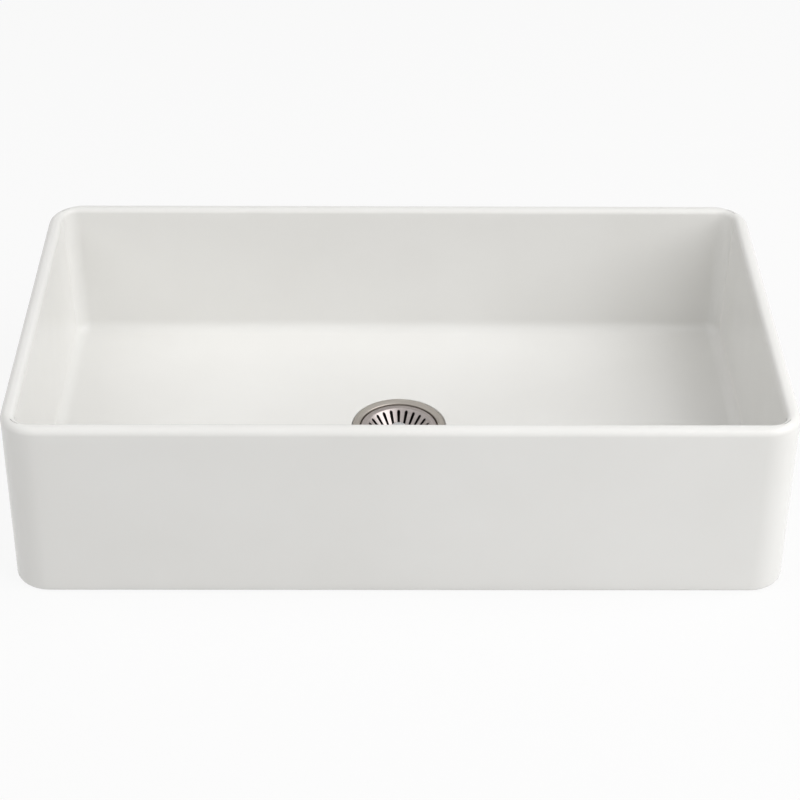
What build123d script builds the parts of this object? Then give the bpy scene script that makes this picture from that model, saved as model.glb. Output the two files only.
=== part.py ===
"""Farmhouse apron front kitchen sink in glazed fireclay, with its basket strainer waste.

Frame: millimetres, +Z up, origin in the plane of the foot, under the middle of the basin.
+X is the right-hand end, -Y is the apron that faces the room, +Y is the wall side.
Heights of the waste count from the floor of the bowl at the outlet, and depths count down
from there. Radii of the waste count from its own upright axis.
"""
import os
from math import radians, sqrt, tan

from build123d import *

os.makedirs("parts", exist_ok=True)

# ================================================================= driving dimensions
# ---- basin, outside
BASIN_WIDTH = 838.0            # 33 in, left to right
BASIN_DEPTH = 483.0            # 19 in, apron to wall
BASIN_HEIGHT = 212.0           # foot to rim
CORNER_RADIUS = 40.0           # upright outer corners, in plan
FOOT_EDGE_RADIUS = 5.0         # outer edge of the foot
RIM_OUTER_RADIUS = 8.0         # roll of the rim to the outside
RIM_FLAT = 2.0                 # level band along the top of the rim
RIM_INNER_RADIUS = 6.0         # roll of the rim into the bowl

# ---- bowl
BOWL_DEPTH = 166.0             # rim to the floor of the bowl beside the walls
BOWL_DRAFT = 2.0               # degrees by which the inner walls lean in towards the floor
BOWL_CORNER_RADIUS = 18.0      # upright inner corners, in plan
BOWL_FLOOR_RADIUS = 14.0       # cove between the walls and the floor
FLOOR_FALL = 5.0               # the floor drops this much from the cove to the outlet
FLOOR_FALL_MARGIN = 4.0        # level strip between the cove and the start of the fall
OUTLET_PAD_MARGIN = 10.0       # level floor round the seat of the flange
OUTLET_PAD_STRAIGHT = 20.0     # straight length on each side of that rounded square
OUTLET_SET_BACK = 17.0         # outlet centre behind the middle of the basin

# ---- underside
OUTLET_FLOOR = 18.0            # thickness of the fireclay round the waste hole
FOOT_WIDTH = 34.0              # flat foot round the underside
UNDERSIDE_CORNER_RADIUS = 26.0
UNDERSIDE_DRAFT = 4.0          # degrees on the sides of the underside recess
UNDERSIDE_COVE = 8.0

# ---- strainer body, pressed sheet with a threaded barrel and outlet
SHEET = 1.6
FLANGE_RADIUS = 54.0
FLANGE_WIDTH = 8.6             # outer edge of the flange to the recess for the basket's rim
FLANGE_PROUD = 1.2             # outer edge of the flange above the floor, before its bend
FLANGE_DISH = 2.0              # fall of the flange towards its throat
FLANGE_LIP = 2.3               # down-turned outer edge
LEDGE_WIDTH = 3.6              # ring on which the basket's rim lies
LEDGE_DROP = 3.8               # step from the flange down to that ring
BARREL_SPARE = 4.0             # barrel left below the locknut
CUP_BEND = 5.0                 # bend from the barrel to the cup's floor
CUP_FLOOR_FALL = 2.0           # cone of the cup's floor
OUTLET_BORE_RADIUS = 20.0
OUTLET_WALL = 3.9              # to the crests of its 1 1/2 in pipe thread
OUTLET_LENGTH = 21.0

# ---- seat of the flange in the floor, waste hole and gasket
SEAT_CLEARANCE = 1.2           # round the flange
SEAT_DEPTH = 3.0
SEAT_EDGE_RADIUS = 0.8
HOLE_CLEARANCE = 2.6           # waste hole round the barrel
COUNTERSINK_CLEARANCE = 2.6    # round the recess of the flange
COUNTERSINK_DEPTH = 7.0
GASKET_CLEARANCE = 0.4         # gasket to the countersink, and to the lip of the flange

# ---- fixings below the basin
FIT = 0.1                      # radial gap between a thread or bore and what it goes on
WASHER_CLEARANCE = 0.6         # bore of the washers round the barrel
UNDER_WASHER_WIDTH = 12.0
UNDER_WASHER_THICKNESS = 3.0
FRICTION_WASHER_THICKNESS = 1.0
LOCKNUT_WALL = 8.5
LOCKNUT_HEIGHT = 12.0
LOCKNUT_FLANGE_HEIGHT = 3.5
LUG_COUNT = 8
LUG_REACH = 4.5                # how far each lug stands out of the ring
LUG_WIDTH = 13.0

# ---- tailpiece and its coupling
TAIL_WASHER_THICKNESS = 2.0
TAIL_FLANGE_CLEARANCE = 1.0    # tailpiece flange and washer inside the coupling thread
TAILPIECE_RADIUS = 19.05       # 1 1/2 in tube
TAILPIECE_WALL = 0.9
TAILPIECE_LENGTH = 101.6       # 4 in
COUPLING_WALL = 4.5            # thread to the flats
COUPLING_ENGAGEMENT = 12.0     # thread of the coupling nut over the outlet
COUPLING_LIP = 3.0             # inward lip under the tailpiece's flange
COUPLING_LIP_CLEARANCE = 1.0   # round the tailpiece
COUPLING_CHAMFER = 3.0

# ---- outlet cross and spring ring
CROSS_GAP = 2.0                # below the stopper's nut
CROSS_HEIGHT = 3.5
CROSS_RING = 1.8
CROSS_ARMS = 4
CROSS_ARM_WIDTH = 3.0
CROSS_HUB_WALL = 3.4
CROSS_HUB_HEIGHT = 10.0
CATCH_DROP = 5.0               # top of the cross to the middle of the spring ring
CATCH_WIRE_RADIUS = 0.6
CATCH_MOUTH = 50.0             # degrees, the open side of the spring ring

# ---- basket
REST_GAP = 0.3                 # between two pieces that move on each other
RUNNING_GAP = 0.05             # radial, in a bearing
PRESS_GAP = 0.02               # radial, bush in the basket
BASKET_SHEET = 1.0
BASKET_RIM_GAP = 0.9           # basket's rim inside the recess of the flange
BASKET_RIM_ROLL = 1.4
BASKET_RIM_WIDTH = 6.8         # rim to the shoulder of the cone
BASKET_SHOULDER_BEND = 2.0
BASKET_CONE_ANGLE = 45.0
BASKET_DEPTH = 20.5            # floor level to the bottom of the basket
BASKET_BEND = 5.0
SLOT_COUNT = 24
SLOT_MARGIN = 1.3              # shoulder to the outer ends of the slots
SLOT_LENGTH = 16.5             # in plan
SLOT_OUTER_WIDTH = 3.8
SLOT_INNER_WIDTH = 2.3
BUSH_WALL = 2.4
BUSH_FLANGE_WIDTH = 3.6
BUSH_FLANGE_HEIGHT = 1.4
BUSH_STAND = 1.6               # bush above the basket's bottom

# ---- post, clip and knob
POST_RADIUS = 4.0
POST_WAIST_RADIUS = 6.5        # thick middle length between the basket and the stopper
POST_TIP_BELOW = 2.3           # post below its lower groove
POST_TIP_CHAMFER = 1.5
POST_GROOVE = 0.5              # depth of the grooves for the spring ring
DRAIN_LIFT = 8.0               # basket raised to its draining position
CLIP_THICKNESS = 0.9
CLIP_WIDTH = 3.2               # clip outside the post
CLIP_MOUTH = 5.0
CLIP_GROOVE = 0.8
CLIP_LAND = 1.0                # post between the clip and the knob
KNOB_RADIUS = 8.5
KNOB_TOP_DEPTH = 0.4
KNOB_CAP = 4.2
KNOB_EDGE = 1.3
KNOB_NECK_WALL = 1.6
KNOB_NECK_FILLET = 1.5
KNOB_ROOF = 3.4                # metal over the end of the post

# ---- stopper
STOPPER_SEAL_LAP = 7.0         # seal outside the outlet's bore
STOPPER_SEAL = 3.2
STOPPER_SEAL_EDGE = 0.6        # upright edge of the seal
STOPPER_SEAL_BEVEL = 1.6
STOPPER_SEAL_LAND = 5.5        # width of the cone that lies on the cup's floor
STOPPER_PLUG = 1.6             # the seal's middle enters the outlet by this much
STOPPER_PLUG_CLEARANCE = 2.5
STOPPER_PLATE_INSET = 3.0
STOPPER_PLATE = 1.2
STOPPER_WASHER_RADIUS = 12.0
STOPPER_WASHER = 1.2
STOPPER_NUT_FLATS = 13.0
STOPPER_NUT = 4.2

# ================================================================= worked-out dimensions
RIM_WALL = RIM_OUTER_RADIUS + RIM_FLAT + RIM_INNER_RADIUS
FLOOR_AT_WALL = BASIN_HEIGHT - BOWL_DEPTH
FLOOR_AT_OUTLET = FLOOR_AT_WALL - FLOOR_FALL
UNDERSIDE = FLOOR_AT_OUTLET - OUTLET_FLOOR

SEAT_RADIUS = FLANGE_RADIUS + SEAT_CLEARANCE
LEDGE_RADIUS = FLANGE_RADIUS - FLANGE_WIDTH
BARREL_BORE_RADIUS = LEDGE_RADIUS - LEDGE_WIDTH
BARREL_RADIUS = BARREL_BORE_RADIUS + SHEET
OUTLET_HOLE_RADIUS = BARREL_RADIUS + HOLE_CLEARANCE
COUNTERSINK_RADIUS = LEDGE_RADIUS + SHEET + COUNTERSINK_CLEARANCE
LEDGE_DEPTH = FLANGE_DISH + LEDGE_DROP - FLANGE_PROUD

UNDER_WASHER_DEPTH = OUTLET_FLOOR
FRICTION_WASHER_DEPTH = UNDER_WASHER_DEPTH + UNDER_WASHER_THICKNESS
LOCKNUT_DEPTH = FRICTION_WASHER_DEPTH + FRICTION_WASHER_THICKNESS
CUP_CONE_DEPTH = LOCKNUT_DEPTH + LOCKNUT_HEIGHT + BARREL_SPARE + CUP_BEND
CUP_DEPTH = CUP_CONE_DEPTH + CUP_FLOOR_FALL
CUP_CONE_SLOPE = CUP_FLOOR_FALL / (BARREL_BORE_RADIUS - OUTLET_BORE_RADIUS)
OUTLET_THREAD_RADIUS = OUTLET_BORE_RADIUS + OUTLET_WALL
OUTLET_END = CUP_DEPTH + OUTLET_LENGTH
TAILPIECE_DEPTH = OUTLET_END + TAIL_WASHER_THICKNESS
TAILPIECE_BORE_RADIUS = TAILPIECE_RADIUS - TAILPIECE_WALL
TAILPIECE_FLANGE_RADIUS = OUTLET_THREAD_RADIUS - TAIL_FLANGE_CLEARANCE

BEARING_RADIUS = POST_RADIUS + RUNNING_GAP
BUSH_RADIUS = BEARING_RADIUS + BUSH_WALL
BASKET_UNDERSIDE = -BASKET_DEPTH - BASKET_SHEET
BUSH_TOP = -BASKET_DEPTH + BUSH_STAND
POST_SHOULDER = BASKET_UNDERSIDE - BUSH_FLANGE_HEIGHT - REST_GAP
CLIP_TOP = BUSH_TOP + REST_GAP + CLIP_THICKNESS
KNOB_TOP = -KNOB_TOP_DEPTH
KNOB_BOTTOM = CLIP_TOP + CLIP_LAND
POST_TOP = KNOB_TOP - KNOB_ROOF

STOPPER_SEAL_RADIUS = OUTLET_BORE_RADIUS + STOPPER_SEAL_LAP
STOPPER_SEAL_RIM = -CUP_DEPTH + CUP_CONE_SLOPE * STOPPER_SEAL_LAP + REST_GAP
STOPPER_SEAL_TOP = STOPPER_SEAL_RIM + STOPPER_SEAL
STOPPER_PLATE_TOP = STOPPER_SEAL_TOP + STOPPER_PLATE
STOPPER_WASHER_TOP = -CUP_DEPTH - STOPPER_PLUG
STOPPER_NUT_TOP = STOPPER_WASHER_TOP - STOPPER_WASHER
CROSS_TOP = STOPPER_NUT_TOP - STOPPER_NUT - CROSS_GAP
CATCH_HEIGHT = CROSS_TOP - CATCH_DROP
POST_TIP = CATCH_HEIGHT - DRAIN_LIFT - POST_TIP_BELOW


def at_outlet(shape):
    """Carry a piece of the waste from its own axis to the outlet of the bowl."""
    return Pos(0, OUTLET_SET_BACK, FLOOR_AT_OUTLET) * shape


def turned(points):
    """Solid of revolution about Z from a closed outline of (radius, height) points."""
    return revolve(Plane.XZ * make_face(Polyline(*points, close=True)), Axis.Z)


def disc(radius, top, thickness):
    """Round plate or bar with its upper face at height top."""
    return Pos(0, 0, top - thickness / 2) * Cylinder(radius, thickness)


def ring(inner, outer, top, thickness):
    """Flat ring, washer or tube with its upper face at height top."""
    return disc(outer, top, thickness) - disc(inner, top + thickness, 3 * thickness)


def pressed_shell(points, bends, thickness):
    """Sheet wall of revolution: points follow its upper or inner face, bends round them."""
    path = FilletPolyline(*points, radius=bends)
    outline = Wire(path.edges()).offset_2d(thickness, side=Side.LEFT, closed=True)
    return revolve(Plane.XZ * make_face(outline), Axis.Z)


def hexagon_bar(across_flats, top, height):
    """Hexagonal bar of the given width, with its upper face at height top."""
    outline = RegularPolygon(across_flats / 2, 6, major_radius=False)
    return Pos(0, 0, top - height) * extrude(outline, height)


def circles_at(shape, height, radius):
    """Full circles of the given radius on a shape, at the given height."""
    circles = shape.edges().filter_by(GeomType.CIRCLE)
    level = [e for e in circles if abs(e.center().Z - height) < 0.01]
    return [e for e in level if abs(e.radius - radius) < 0.01]


# ================================================================= fireclay basin
def make_sink_basin():
    body = extrude(RectangleRounded(BASIN_WIDTH, BASIN_DEPTH, CORNER_RADIUS), BASIN_HEIGHT)
    body = fillet(body.edges().group_by(Axis.Z)[0], FOOT_EDGE_RADIUS)
    body = fillet(body.edges().group_by(Axis.Z)[-1], RIM_OUTER_RADIUS)
    body -= make_bowl()
    body = fillet(rim_inner_edges(body), RIM_INNER_RADIUS)
    body -= make_underside_recess()
    body -= at_outlet(make_outlet_hole())
    return fillet(circles_at(body, FLOOR_AT_OUTLET, SEAT_RADIUS), SEAT_EDGE_RADIUS)


def make_bowl():
    """The hollow of the bowl: drafted walls, coved floor, and its fall to the outlet."""
    width = BASIN_WIDTH - 2 * RIM_WALL
    depth = BASIN_DEPTH - 2 * RIM_WALL
    lean = BOWL_DEPTH * tan(radians(BOWL_DRAFT))
    mouth = bowl_outline(width, depth, BASIN_HEIGHT)
    floor = bowl_outline(width - 2 * lean, depth - 2 * lean, FLOOR_AT_WALL)
    bowl = loft([floor, mouth], ruled=True)
    bowl = fillet(bowl.edges().group_by(Axis.Z)[0], BOWL_FLOOR_RADIUS)

    inset = 2 * (lean + BOWL_FLOOR_RADIUS + FLOOR_FALL_MARGIN)
    fall_start = bowl_outline(width - inset, depth - inset, FLOOR_AT_WALL)
    pad_side = 2 * (SEAT_RADIUS + OUTLET_PAD_MARGIN)
    pad = RectangleRounded(pad_side, pad_side, (pad_side - OUTLET_PAD_STRAIGHT) / 2)
    return bowl + loft([fall_start, at_outlet(pad)], ruled=True)


def bowl_outline(width, depth, height):
    """Level outline of the bowl; its corner radius is the same at every height."""
    return Pos(0, 0, height) * RectangleRounded(width, depth, BOWL_CORNER_RADIUS)


def rim_inner_edges(body):
    """Edges where the bowl breaks through the top of the rim."""
    half_width = BASIN_WIDTH / 2 - RIM_OUTER_RADIUS - RIM_FLAT / 2
    half_depth = BASIN_DEPTH / 2 - RIM_OUTER_RADIUS - RIM_FLAT / 2
    top = body.edges().group_by(Axis.Z)[-1]
    return [e for e in top if abs(e.center().X) < half_width and abs(e.center().Y) < half_depth]


def make_underside_recess():
    """Shallow hollow inside the foot, so that the floor keeps an even thickness."""
    outline = RectangleRounded(
        BASIN_WIDTH - 2 * FOOT_WIDTH, BASIN_DEPTH - 2 * FOOT_WIDTH, UNDERSIDE_CORNER_RADIUS
    )
    recess = extrude(outline, UNDERSIDE, taper=UNDERSIDE_DRAFT)
    cove = min(UNDERSIDE_COVE, UNDERSIDE / 2)
    return fillet(recess.edges().group_by(Axis.Z)[-1], cove)


def make_outlet_hole():
    """Seat for the flange, countersink and waste hole, about the waste's own axis."""
    return turned([
        (0, SEAT_DEPTH),
        (SEAT_RADIUS, SEAT_DEPTH),
        (SEAT_RADIUS, -SEAT_DEPTH),
        (COUNTERSINK_RADIUS, -SEAT_DEPTH),
        (OUTLET_HOLE_RADIUS, -SEAT_DEPTH - COUNTERSINK_DEPTH),
        (OUTLET_HOLE_RADIUS, -2 * OUTLET_FLOOR),
        (0, -2 * OUTLET_FLOOR),
    ])


# ================================================================= strainer body
def make_strainer_body():
    """Flange, throat, ledge, threaded barrel, cup floor and threaded outlet in one piece."""
    path = [
        (FLANGE_RADIUS, FLANGE_PROUD - FLANGE_LIP - SHEET),
        (FLANGE_RADIUS, FLANGE_PROUD),
        (LEDGE_RADIUS + 0.6, FLANGE_PROUD - FLANGE_DISH),
        (LEDGE_RADIUS, -LEDGE_DEPTH),
        (BARREL_BORE_RADIUS, -LEDGE_DEPTH),
        (BARREL_BORE_RADIUS, -CUP_CONE_DEPTH),
        (OUTLET_BORE_RADIUS, -CUP_DEPTH),
        (OUTLET_BORE_RADIUS, -OUTLET_END),
    ]
    cup = pressed_shell(path, [SHEET + 0.3, 1.0, 0.8, 0.9, CUP_BEND, SHEET + 0.4], SHEET)
    spigot_top = -CUP_DEPTH - SHEET / 2
    inside_sheet = OUTLET_BORE_RADIUS + SHEET / 2
    return cup + ring(inside_sheet, OUTLET_THREAD_RADIUS, spigot_top, OUTLET_END + spigot_top)


def make_flange_gasket():
    """Foam ring under the flange; its top follows the flange's dish."""
    inner = COUNTERSINK_RADIUS + GASKET_CLEARANCE
    outer = FLANGE_RADIUS - SHEET - GASKET_CLEARANCE
    return turned([
        (inner, -SEAT_DEPTH),
        (outer, -SEAT_DEPTH),
        (outer, flange_underside(outer)),
        (inner, flange_underside(inner)),
    ])


def flange_underside(radius):
    """Height of the lower face of the dished flange at a radius."""
    run = FLANGE_WIDTH - 0.6
    slope = FLANGE_DISH / run
    sheet_height = SHEET * sqrt(1 + slope ** 2)
    return FLANGE_PROUD - slope * (FLANGE_RADIUS - radius) - sheet_height


# ================================================================= fixings below the basin
def make_under_washer():
    inner = BARREL_RADIUS + WASHER_CLEARANCE
    return ring(inner, inner + UNDER_WASHER_WIDTH, -UNDER_WASHER_DEPTH, UNDER_WASHER_THICKNESS)


def make_friction_washer():
    inner = BARREL_RADIUS + WASHER_CLEARANCE
    outer = inner + UNDER_WASHER_WIDTH
    return ring(inner, outer, -FRICTION_WASHER_DEPTH, FRICTION_WASHER_THICKNESS)


def make_locknut():
    """Cast ring nut with lugs for a spud wrench and a wide face against the washer."""
    bore = BARREL_RADIUS + FIT
    wall_radius = bore + LOCKNUT_WALL
    reach = wall_radius + LUG_REACH
    nut = disc(wall_radius, -LOCKNUT_DEPTH, LOCKNUT_HEIGHT)
    nut += disc(reach, -LOCKNUT_DEPTH, LOCKNUT_FLANGE_HEIGHT)
    middle = -LOCKNUT_DEPTH - LOCKNUT_HEIGHT / 2
    lug = Pos(reach / 2, 0, middle) * Box(reach, LUG_WIDTH, LOCKNUT_HEIGHT)
    nut += [Rot(0, 0, 360 * k / LUG_COUNT) * lug for k in range(LUG_COUNT)]
    nut &= disc(reach, -LOCKNUT_DEPTH, LOCKNUT_HEIGHT)
    return nut - disc(bore, 0, 2 * LOCKNUT_DEPTH + LOCKNUT_HEIGHT)


def make_tail_washer():
    return ring(TAILPIECE_BORE_RADIUS, TAILPIECE_FLANGE_RADIUS, -OUTLET_END, TAIL_WASHER_THICKNESS)


def make_tailpiece():
    """Flanged 1 1/2 in tube that carries the water on to the trap."""
    path = [
        (TAILPIECE_FLANGE_RADIUS, -TAILPIECE_DEPTH),
        (TAILPIECE_BORE_RADIUS, -TAILPIECE_DEPTH),
        (TAILPIECE_BORE_RADIUS, -TAILPIECE_DEPTH - TAILPIECE_LENGTH),
    ]
    return pressed_shell(path, [0.6], TAILPIECE_WALL)


def make_coupling_nut():
    """Hexagonal nut that draws the tailpiece's flange against the outlet."""
    bore = OUTLET_THREAD_RADIUS + FIT
    across_flats = 2 * (bore + COUPLING_WALL)
    corner = across_flats / sqrt(3)
    top = -OUTLET_END + COUPLING_ENGAGEMENT
    shoulder = -TAILPIECE_DEPTH - TAILPIECE_WALL
    bottom = shoulder - COUPLING_LIP
    blank = turned([
        (0, top),
        (corner - COUPLING_CHAMFER, top),
        (corner, top - COUPLING_CHAMFER / 2),
        (corner, bottom + COUPLING_CHAMFER / 2),
        (corner - COUPLING_CHAMFER, bottom),
        (0, bottom),
    ])
    nut = hexagon_bar(across_flats, top, top - bottom) & blank
    nut -= disc(bore, top + 1.0, top + 1.0 - shoulder)
    return nut - disc(TAILPIECE_RADIUS + COUPLING_LIP_CLEARANCE, top, 2 * (top - bottom))


# ================================================================= outlet cross
def make_outlet_cross():
    """Ring with arms and a hub that guides the post and holds its spring ring."""
    outer = OUTLET_BORE_RADIUS - FIT
    cross = ring(outer - CROSS_RING, outer, CROSS_TOP, CROSS_HEIGHT)
    arm_length = outer - CROSS_RING / 2
    arm = Pos(arm_length / 2, 0, CROSS_TOP - CROSS_HEIGHT / 2) * Box(
        arm_length, CROSS_ARM_WIDTH, CROSS_HEIGHT
    )
    cross += [Rot(0, 0, 360 * (k + 0.5) / CROSS_ARMS) * arm for k in range(CROSS_ARMS)]
    cross += disc(BEARING_RADIUS + CROSS_HUB_WALL, CROSS_TOP, CROSS_HUB_HEIGHT)
    cross -= disc(BEARING_RADIUS, CROSS_TOP + 1.0, CROSS_HUB_HEIGHT + 2.0)
    groove_height = 2 * (CATCH_WIRE_RADIUS + FIT)
    groove_radius = BEARING_RADIUS + groove_height
    return cross - disc(groove_radius, CATCH_HEIGHT + groove_height / 2, groove_height)


def make_catch_ring():
    """Open wire ring in the hub; it springs into the grooves of the post."""
    wire_centre = BEARING_RADIUS + CATCH_WIRE_RADIUS
    profile = Plane.XZ * Pos(wire_centre, 0) * Circle(CATCH_WIRE_RADIUS)
    return Pos(0, 0, CATCH_HEIGHT) * revolve(profile, Axis.Z, 360 - CATCH_MOUTH)


# ================================================================= basket
def make_basket_shell():
    """Pressed basket: rolled rim, slotted cone and a flat bottom with a hole for the bush."""
    rim_seat = -LEDGE_DEPTH + REST_GAP
    crown = rim_seat + BASKET_SHEET + BASKET_RIM_ROLL
    rim_radius = LEDGE_RADIUS - BASKET_RIM_GAP
    shoulder = rim_radius - BASKET_RIM_WIDTH
    cone_run = (crown + BASKET_DEPTH) / tan(radians(BASKET_CONE_ANGLE))
    path = [
        (rim_radius, rim_seat),
        (rim_radius, crown),
        (shoulder, crown),
        (shoulder - cone_run, -BASKET_DEPTH),
        (BUSH_RADIUS, -BASKET_DEPTH),
    ]
    bends = [BASKET_RIM_ROLL, BASKET_SHOULDER_BEND, BASKET_BEND]
    shell = pressed_shell(path, bends, BASKET_SHEET)
    cutter = make_slot_cutter(shoulder - SLOT_MARGIN)
    return shell - [Rot(0, 0, 360 * k / SLOT_COUNT) * cutter for k in range(SLOT_COUNT)]


def make_slot_cutter(reach):
    """One radial slot, wider at its outer end, as a tall cutter beside the axis."""
    outer_end = Pos(reach - SLOT_OUTER_WIDTH / 2, 0) * Circle(SLOT_OUTER_WIDTH / 2)
    inner_end = Pos(reach - SLOT_LENGTH + SLOT_INNER_WIDTH / 2, 0) * Circle(SLOT_INNER_WIDTH / 2)
    outline = make_hull((outer_end + inner_end).edges())
    return Pos(0, 0, 2 * BASKET_UNDERSIDE) * extrude(outline, -2 * BASKET_UNDERSIDE)


def make_basket_bush():
    """Flanged bush pressed into the basket's bottom; it turns on the post."""
    flange = ring(
        BEARING_RADIUS, BUSH_RADIUS + BUSH_FLANGE_WIDTH, BASKET_UNDERSIDE, BUSH_FLANGE_HEIGHT
    )
    sleeve = ring(
        BEARING_RADIUS, BUSH_RADIUS - PRESS_GAP, BUSH_TOP, BUSH_TOP - BASKET_UNDERSIDE
    )
    return flange + sleeve


# ================================================================= post, clip and knob
def make_basket_post():
    """Turned post: thick waist between two shoulders, grooves for the clip and spring ring."""
    post = disc(POST_RADIUS, POST_TOP, POST_TOP - POST_TIP)
    post = chamfer(post.edges().group_by(Axis.Z)[0], POST_TIP_CHAMFER)
    post += disc(POST_WAIST_RADIUS, POST_SHOULDER, POST_SHOULDER - STOPPER_PLATE_TOP)
    outside = 2 * POST_RADIUS
    for middle in (CATCH_HEIGHT, CATCH_HEIGHT - DRAIN_LIFT):
        top = middle + CATCH_WIRE_RADIUS
        post -= ring(POST_RADIUS - POST_GROOVE, outside, top, 2 * CATCH_WIRE_RADIUS)
    return post - ring(POST_RADIUS - CLIP_GROOVE, outside, CLIP_TOP, CLIP_THICKNESS)


def make_basket_clip():
    """Retaining clip in the post's groove, open on one side."""
    radius = POST_RADIUS + CLIP_WIDTH
    clip = ring(POST_RADIUS - CLIP_GROOVE + RUNNING_GAP, radius, CLIP_TOP, CLIP_THICKNESS)
    return clip - Pos(radius, 0, CLIP_TOP) * Box(2 * radius, CLIP_MOUTH, 4 * CLIP_THICKNESS)


def make_basket_knob():
    """Mushroom knob screwed on the post."""
    neck_radius = BEARING_RADIUS + KNOB_NECK_WALL
    cap = disc(KNOB_RADIUS, KNOB_TOP, KNOB_CAP)
    cap = fillet(cap.edges().filter_by(GeomType.CIRCLE), KNOB_EDGE)
    knob = cap + disc(neck_radius, KNOB_TOP - KNOB_EDGE, KNOB_TOP - KNOB_EDGE - KNOB_BOTTOM)
    knob = fillet(circles_at(knob, KNOB_TOP - KNOB_CAP, neck_radius), KNOB_NECK_FILLET)
    return knob - disc(BEARING_RADIUS, POST_TOP, 2 * (POST_TOP - KNOB_BOTTOM))


# ================================================================= stopper
def make_stopper_plate():
    return ring(
        POST_RADIUS + FIT, STOPPER_SEAL_RADIUS - STOPPER_PLATE_INSET, STOPPER_PLATE_TOP, STOPPER_PLATE
    )


def make_stopper_seal():
    """Rubber disc that lies on the cup's floor; its plug centres it in the outlet."""
    bore = POST_RADIUS + FIT
    land_radius = STOPPER_SEAL_RADIUS - STOPPER_SEAL_LAND
    land_height = STOPPER_SEAL_RIM - CUP_CONE_SLOPE * STOPPER_SEAL_LAND
    plug_radius = OUTLET_BORE_RADIUS - STOPPER_PLUG_CLEARANCE
    return turned([
        (bore, STOPPER_SEAL_TOP),
        (STOPPER_SEAL_RADIUS - STOPPER_SEAL_BEVEL, STOPPER_SEAL_TOP),
        (STOPPER_SEAL_RADIUS, STOPPER_SEAL_RIM + STOPPER_SEAL_EDGE),
        (STOPPER_SEAL_RADIUS, STOPPER_SEAL_RIM),
        (land_radius, land_height),
        (plug_radius, land_height),
        (plug_radius - STOPPER_PLUG / 2, STOPPER_WASHER_TOP),
        (bore, STOPPER_WASHER_TOP),
    ])


def make_stopper_washer():
    return ring(POST_RADIUS + FIT, STOPPER_WASHER_RADIUS, STOPPER_WASHER_TOP, STOPPER_WASHER)


def make_stopper_nut():
    nut = hexagon_bar(STOPPER_NUT_FLATS, STOPPER_NUT_TOP, STOPPER_NUT)
    return nut - disc(POST_RADIUS + FIT, STOPPER_NUT_TOP + 1.0, STOPPER_NUT + 2.0)


# ================================================================= assembly
WASTE_PIECES = {
    "flange_gasket": make_flange_gasket,
    "strainer_body": make_strainer_body,
    "under_washer": make_under_washer,
    "friction_washer": make_friction_washer,
    "locknut": make_locknut,
    "outlet_cross": make_outlet_cross,
    "catch_ring": make_catch_ring,
    "tailpiece_washer": make_tail_washer,
    "tailpiece": make_tailpiece,
    "coupling_nut": make_coupling_nut,
    "basket_shell": make_basket_shell,
    "basket_bush": make_basket_bush,
    "basket_post": make_basket_post,
    "basket_clip": make_basket_clip,
    "basket_knob": make_basket_knob,
    "stopper_plate": make_stopper_plate,
    "stopper_seal": make_stopper_seal,
    "stopper_washer": make_stopper_washer,
    "stopper_nut": make_stopper_nut,
}

export_step(make_sink_basin(), "parts/sink_basin.step")
for node, make_piece in WASTE_PIECES.items():
    export_step(at_outlet(make_piece()), f"parts/{node}.step")
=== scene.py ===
"""Looks of the farmhouse apron front sink: glazed fireclay basin and its basket strainer waste.

Metres, +Z up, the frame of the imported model: origin in the plane of the foot under the middle
of the basin, +X to the right-hand end, -Y towards the apron. Radii and heights of the waste
count from its own upright axis and from the floor of the bowl at the outlet.
"""

from math import acos, atan2, cos, pi, radians, sin, sqrt, tan

import bmesh
import bpy
import numpy as np
from mathutils import Matrix, Vector, noise


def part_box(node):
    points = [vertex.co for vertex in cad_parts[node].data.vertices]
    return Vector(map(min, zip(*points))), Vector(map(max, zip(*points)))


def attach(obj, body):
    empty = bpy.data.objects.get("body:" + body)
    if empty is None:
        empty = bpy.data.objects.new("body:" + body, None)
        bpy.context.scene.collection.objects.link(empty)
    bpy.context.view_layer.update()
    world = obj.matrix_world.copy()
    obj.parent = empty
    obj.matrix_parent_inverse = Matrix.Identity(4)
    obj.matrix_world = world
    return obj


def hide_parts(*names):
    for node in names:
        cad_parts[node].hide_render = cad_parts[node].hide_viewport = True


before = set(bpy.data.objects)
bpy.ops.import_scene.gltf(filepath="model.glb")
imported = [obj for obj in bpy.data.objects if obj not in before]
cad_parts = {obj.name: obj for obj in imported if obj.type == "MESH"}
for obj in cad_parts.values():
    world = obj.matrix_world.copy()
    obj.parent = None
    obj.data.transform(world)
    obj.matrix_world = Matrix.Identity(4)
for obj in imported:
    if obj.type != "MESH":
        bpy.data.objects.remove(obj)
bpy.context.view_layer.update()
MM = 0.001

# ================================================================= sizes taken from the frame
_, basin_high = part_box("sink_basin")
flange_low, flange_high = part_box("strainer_body")
HALF_WIDTH = basin_high.x
HALF_DEPTH = basin_high.y
HEIGHT = basin_high.z
OUTLET_Y = (flange_low.y + flange_high.y) / 2

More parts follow.
